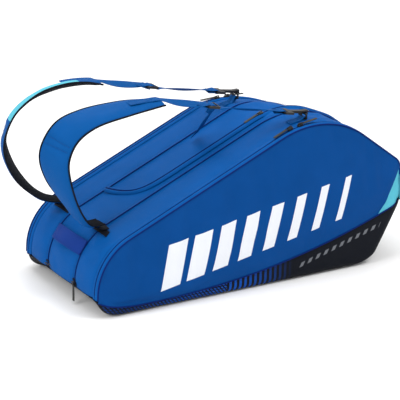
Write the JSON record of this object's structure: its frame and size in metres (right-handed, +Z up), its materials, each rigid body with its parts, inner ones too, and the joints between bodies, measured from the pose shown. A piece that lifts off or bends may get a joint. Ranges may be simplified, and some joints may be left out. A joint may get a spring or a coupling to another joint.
{
  "type": "racket tournament bag",
  "caption": "Long soft bag for rackets with zipped side compartments, a shoe pocket, an end handle and padded shoulder straps that hook on over the top.",
  "frame": {"origin": "centre of the flat underside", "axes": "+X along the bag to the racket-head end, +Y from the front face to the back, +Z up"},
  "size_m": [0.8442, 0.3474, 0.4372],
  "materials": {
    "base_fabric": "woven, coated",
    "blue_fabric": "coated, soft sheen",
    "cyan_fabric": "coated, soft sheen",
    "navy_piping": "woven",
    "board": "matte",
    "padded_lining": "woven, padded",
    "black_webbing": "woven",
    "blue_webbing": "woven",
    "black_mesh": "mesh",
    "zip_coil": "satin",
    "black_metal": "satin",
    "black_rubber": "matte",
    "black_plastic": "satin"
  },
  "bodies": {
    "bag": {"base_floor": "base_fabric", "base_front_skirt": "base_fabric", "base_rear_skirt": "base_fabric", "base_board": "board", "gusset_front": "blue_fabric", "gusset_centre": "blue_fabric", "gusset_rear": "blue_fabric", "gusset_piping": "navy_piping", "end_panel": "cyan_fabric", "front_panel": "blue_fabric", "rear_panel": "blue_fabric", "divider_front": "padded_lining", "divider_rear": "padded_lining", "shoe_pocket_wall": "padded_lining", "front_zip_tape": "navy_piping", "front_zip_coil": "zip_coil", "middle_zip_tape": "navy_piping", "middle_zip_coil": "zip_coil", "rear_zip_tape": "navy_piping", "rear_zip_coil": "zip_coil", "shoe_zip_tape": "black_webbing", "shoe_zip_coil": "zip_coil", "end_handle": "blue_webbing", "handle_patches": "blue_webbing", "near_anchor": "black_webbing", "far_anchor": "black_webbing", "near_ring_tab": "blue_webbing", "far_ring_tab": "blue_webbing"},
    "front_flap": {"front_flap": "blue_fabric"},
    "rear_flap": {"rear_flap": "blue_fabric"},
    "front_left_slider": {"front_left_slider": "black_metal"},
    "front_left_puller": {"front_left_puller": "black_rubber"},
    "front_right_slider": {"front_right_slider": "black_metal"},
    "front_right_puller": {"front_right_puller": "black_rubber"},
    "rear_left_slider": {"rear_left_slider": "black_metal"},
    "rear_left_puller": {"rear_left_puller": "black_rubber"},
    "rear_right_slider": {"rear_right_slider": "black_metal"},
    "rear_right_puller": {"rear_right_puller": "black_rubber"},
    "middle_slider": {"middle_slider": "black_metal"},
    "middle_puller": {"middle_puller": "black_rubber"},
    "shoe_slider": {"shoe_slider": "black_metal"},
    "shoe_puller": {"shoe_puller": "black_rubber"},
    "near_strap": {"near_pad_cover": "blue_fabric", "near_pad_lining": "black_mesh", "near_upper_webbing": "blue_webbing", "near_ladder_lock": "black_plastic", "near_lower_webbing": "blue_webbing", "near_webbing_tail": "blue_webbing"},
    "near_hook": {"near_hook": "black_plastic"},
    "near_ring": {"near_ring": "black_metal"},
    "far_strap": {"far_pad_cover": "blue_fabric", "far_pad_lining": "black_mesh", "far_upper_webbing": "blue_webbing", "far_ladder_lock": "black_plastic", "far_lower_webbing": "blue_webbing"},
    "far_hook": {"far_hook": "black_plastic"},
    "far_ring": {"far_ring": "black_metal"}
  },
  "joints": [
    {"name": "front_flap_hinge", "type": "hinge", "parent": "bag", "child": "front_flap", "pos_m": [-0.375, -0.17372, 0.047], "axis": [0.9746, 0.0091, 0.224], "range_deg": [0, 75]},
    {"name": "rear_flap_hinge", "type": "hinge", "parent": "bag", "child": "rear_flap", "pos_m": [-0.375, 0.17372, 0.047], "axis": [-0.9746, 0.0091, -0.224], "range_deg": [0, 75]},
    {"name": "front_left_slider_travel", "type": "slide", "parent": "bag", "child": "front_left_slider", "axis": [-0.9164, 0, -0.4003], "range_m": [0, 0.38]},
    {"name": "front_left_puller_lift", "type": "hinge", "parent": "front_left_slider", "child": "front_left_puller", "pos_m": [0.08136, -0.148, 0.3304], "axis": [0, 1, 0], "range_deg": [0, 120]},
    {"name": "front_right_slider_travel", "type": "hinge", "parent": "bag", "child": "front_right_slider", "pos_m": [0.1392, -0.148, 0.1313], "axis": [0, 1, 0], "range_deg": [0, 44]},
    {"name": "front_right_puller_lift", "type": "hinge", "parent": "front_right_slider", "child": "front_right_puller", "pos_m": [0.10698, -0.148, 0.33436], "axis": [0, -1, 0], "range_deg": [0, 120]},
    {"name": "rear_left_slider_travel", "type": "hinge", "parent": "bag", "child": "rear_left_slider", "pos_m": [0.0964, 0.148, 0.04398], "axis": [0, -1, 0], "range_deg": [0, 20]},
    {"name": "rear_left_puller_lift", "type": "hinge", "parent": "rear_left_slider", "child": "rear_left_puller", "pos_m": [0.08369, 0.148, 0.31528], "axis": [0, 1, 0], "range_deg": [0, 120]},
    {"name": "rear_right_slider_travel", "type": "hinge", "parent": "bag", "child": "rear_right_slider", "pos_m": [0.0964, 0.148, 0.04398], "axis": [0, 1, 0], "range_deg": [0, 20]},
    {"name": "rear_right_puller_lift", "type": "hinge", "parent": "rear_right_slider", "child": "rear_right_puller", "pos_m": [0.10829, 0.148, 0.31532], "axis": [0, -1, 0], "range_deg": [0, 120]},
    {"name": "middle_slider_travel", "type": "slide", "parent": "bag", "child": "middle_slider", "axis": [-0.9164, 0, -0.4003], "range_m": [0, 0.28]},
    {"name": "middle_puller_lift", "type": "hinge", "parent": "middle_slider", "child": "middle_puller", "pos_m": [0.08136, -0.032, 0.3304], "axis": [0, 1, 0], "range_deg": [0, 120]},
    {"name": "shoe_slider_travel", "type": "slide", "parent": "bag", "child": "shoe_slider", "axis": [0, 1, 0], "range_m": [0, 0.17]},
    {"name": "shoe_puller_swing", "type": "hinge", "parent": "shoe_slider", "child": "shoe_puller", "pos_m": [-0.3787, -0.066, 0.044], "axis": [1, 0, 0], "range_deg": [-60, 60]},
    {"name": "near_strap_swing", "type": "hinge", "parent": "bag", "child": "near_strap", "pos_m": [-0.316, -0.066, 0.166], "axis": [0, -1, 0], "range_deg": [0, 38]},
    {"name": "near_hook_pivot", "type": "hinge", "parent": "near_strap", "child": "near_hook", "pos_m": [0.085, -0.115, 0.35526], "axis": [0, -1, 0], "range_deg": [0, 40]},
    {"name": "near_ring_pivot", "type": "hinge", "parent": "bag", "child": "near_ring", "pos_m": [0.135, -0.115, 0.33526], "axis": [0, 1, 0], "range_deg": [-9, 9]},
    {"name": "far_strap_swing", "type": "hinge", "parent": "bag", "child": "far_strap", "pos_m": [-0.316, 0.098, 0.164], "axis": [0, -1, 0], "range_deg": [0, 45]},
    {"name": "far_hook_pivot", "type": "hinge", "parent": "far_strap", "child": "far_hook", "pos_m": [0.043, 0.09, 0.34986], "axis": [0, -1, 0], "range_deg": [0, 40]},
    {"name": "far_ring_pivot", "type": "hinge", "parent": "bag", "child": "far_ring", "pos_m": [0.093, 0.09, 0.32986], "axis": [0, 1, 0], "range_deg": [-9, 9]}
  ]
}
